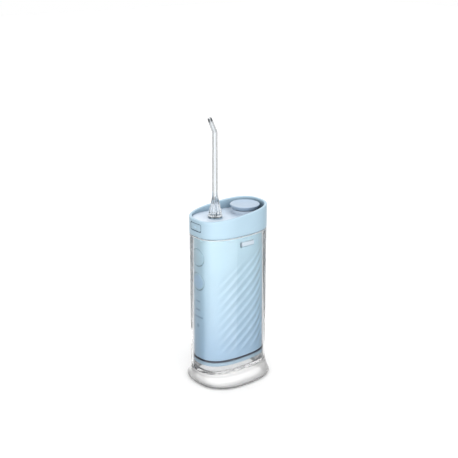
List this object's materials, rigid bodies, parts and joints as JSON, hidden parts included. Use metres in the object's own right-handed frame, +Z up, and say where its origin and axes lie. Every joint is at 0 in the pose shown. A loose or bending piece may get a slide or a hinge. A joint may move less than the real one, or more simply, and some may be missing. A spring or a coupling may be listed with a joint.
{
  "type": "water flosser",
  "caption": "Telescopic pocket water flosser: blue pump handle sliding in a clear tank sleeve with a flared foot, a slanted head band, a deck stopper and a bent clear jet nozzle.",
  "frame": {"origin": "middle of the foot's underside, at the standing surface", "axes": "+Z up along the nozzle, front with the buttons faces -Y, long side of the oblong section along Y, +X to the right"},
  "size_m": [0.0546, 0.064, 0.2092],
  "materials": {
    "clear": "clear glossy moulded plastic",
    "light_blue": "satin light blue plastic",
    "pale_blue": "smooth pale blue plastic",
    "seal": "dark blue-grey elastomer",
    "grey_rubber": "soft grey elastomer",
    "white_plastic": "moulded off-white plastic",
    "light_guide": "milky translucent light guide",
    "steel": "bright drawn steel",
    "brass": "machined brass",
    "board_green": "green solder mask",
    "black_plastic": "black moulded plastic",
    "battery_wrap": "shrink-wrap sleeve",
    "silicone": "translucent silicone"
  },
  "bodies": {
    "tank": {"tank_sleeve": "clear", "tank_foot": "clear", "foot_pad": "grey_rubber"},
    "handle": {"body_shell": "light_blue", "collar": "pale_blue", "deck": "pale_blue", "end_cap": "pale_blue", "tank_seal": "seal", "inner_frame": "white_plastic", "gear_cover": "white_plastic", "gear_axle": "steel", "battery": "battery_wrap", "motor": "steel", "pump_cylinder": "white_plastic", "pump_head": "white_plastic", "inlet_valve": "silicone", "outlet_valve": "silicone", "suction_tube": "silicone", "intake_filter": "steel", "pressure_hose": "silicone", "nozzle_socket": "white_plastic", "nozzle_oring": "seal", "circuit_board": "board_green", "power_switch": "black_plastic", "mode_switch": "black_plastic", "charge_socket": "steel", "fill_cup": "white_plastic", "fill_duct": "white_plastic", "mode_light_1": "light_guide", "mode_light_2": "light_guide", "mode_light_3": "light_guide", "charge_light": "light_guide", "board_screw_1": "steel", "board_screw_2": "steel", "board_screw_3": "steel", "board_screw_4": "steel", "cover_screw_1": "steel", "cover_screw_2": "steel", "cover_screw_3": "steel", "cover_screw_4": "steel"},
    "nozzle_seat": {"nozzle_ring": "pale_blue"},
    "nozzle": {"nozzle": "clear"},
    "fill_stopper": {"fill_cap": "pale_blue", "cap_seal": "seal"},
    "power_button": {"power_button": "light_blue"},
    "mode_button": {"mode_button": "light_blue"},
    "nozzle_release": {"release_button": "pale_blue", "nozzle_latch": "white_plastic", "release_spring": "steel"},
    "side_catch": {"side_catch": "light_blue"},
    "port_flap": {"port_flap": "pale_blue"},
    "pinion": {"pinion": "brass", "motor_shaft": "steel"},
    "crank": {"crank_gear": "white_plastic"},
    "connecting_rod": {"connecting_rod": "white_plastic"},
    "piston": {"piston": "white_plastic", "wrist_pin": "steel", "piston_seal": "seal"}
  },
  "joints": [
    {"name": "tank_slide", "type": "slide", "parent": "tank", "child": "handle", "axis": [0, 0, 1], "range_m": [0, 0.065]},
    {"name": "seat_turn", "type": "hinge", "parent": "handle", "child": "nozzle_seat", "pos_m": [0, -0.0125, 0.1332], "axis": [0, 0, 1], "continuous": true},
    {"name": "nozzle_pull", "type": "slide", "parent": "nozzle_seat", "child": "nozzle", "axis": [0, 0, 1], "range_m": [0, 0.012]},
    {"name": "stopper_pull", "type": "slide", "parent": "handle", "child": "fill_stopper", "axis": [0, 0, 1], "range_m": [0, 0.012]},
    {"name": "power_press", "type": "slide", "parent": "handle", "child": "power_button", "axis": [0, 1, 0], "range_m": [0, 0.0007], "stiffness_N_per_m": 1500},
    {"name": "mode_press", "type": "slide", "parent": "handle", "child": "mode_button", "axis": [0, 1, 0], "range_m": [0, 0.0007], "stiffness_N_per_m": 1500},
    {"name": "release_press", "type": "slide", "parent": "handle", "child": "nozzle_release", "axis": [0, 1, 0], "range_m": [0, 0.0015], "stiffness_N_per_m": 800, "deforming": ["release_spring"]},
    {"name": "catch_press", "type": "slide", "parent": "handle", "child": "side_catch", "axis": [-1, 0, 0], "range_m": [0, 0.0008], "stiffness_N_per_m": 1200},
    {"name": "flap_hinge", "type": "hinge", "parent": "handle", "child": "port_flap", "pos_m": [-0.0205, 0, 0.1233], "axis": [0, -1, 0], "range_deg": [0, 100]},
    {"name": "crank_spin", "type": "hinge", "parent": "handle", "child": "crank", "pos_m": [0, 0.0127, 0.0478], "axis": [0, 1, 0], "continuous": true},
    {"name": "pinion_spin", "type": "hinge", "parent": "handle", "child": "pinion", "pos_m": [0, 0.0127, 0.034], "axis": [0, 1, 0], "continuous": true},
    {"name": "rod_swing", "type": "hinge", "parent": "crank", "child": "connecting_rod", "pos_m": [0, 0.0096, 0.049], "axis": [0, 1, 0], "continuous": true},
    {"name": "piston_stroke", "type": "slide", "parent": "handle", "child": "piston", "axis": [0, 0, -1], "range_m": [0, 0.0024]}
  ],
  "couplings": [
    {"joint": "pinion_spin", "follows": "crank_spin", "ratio": -3.25},
    {"joint": "rod_swing", "follows": "crank_spin", "ratio": -1}
  ]
}
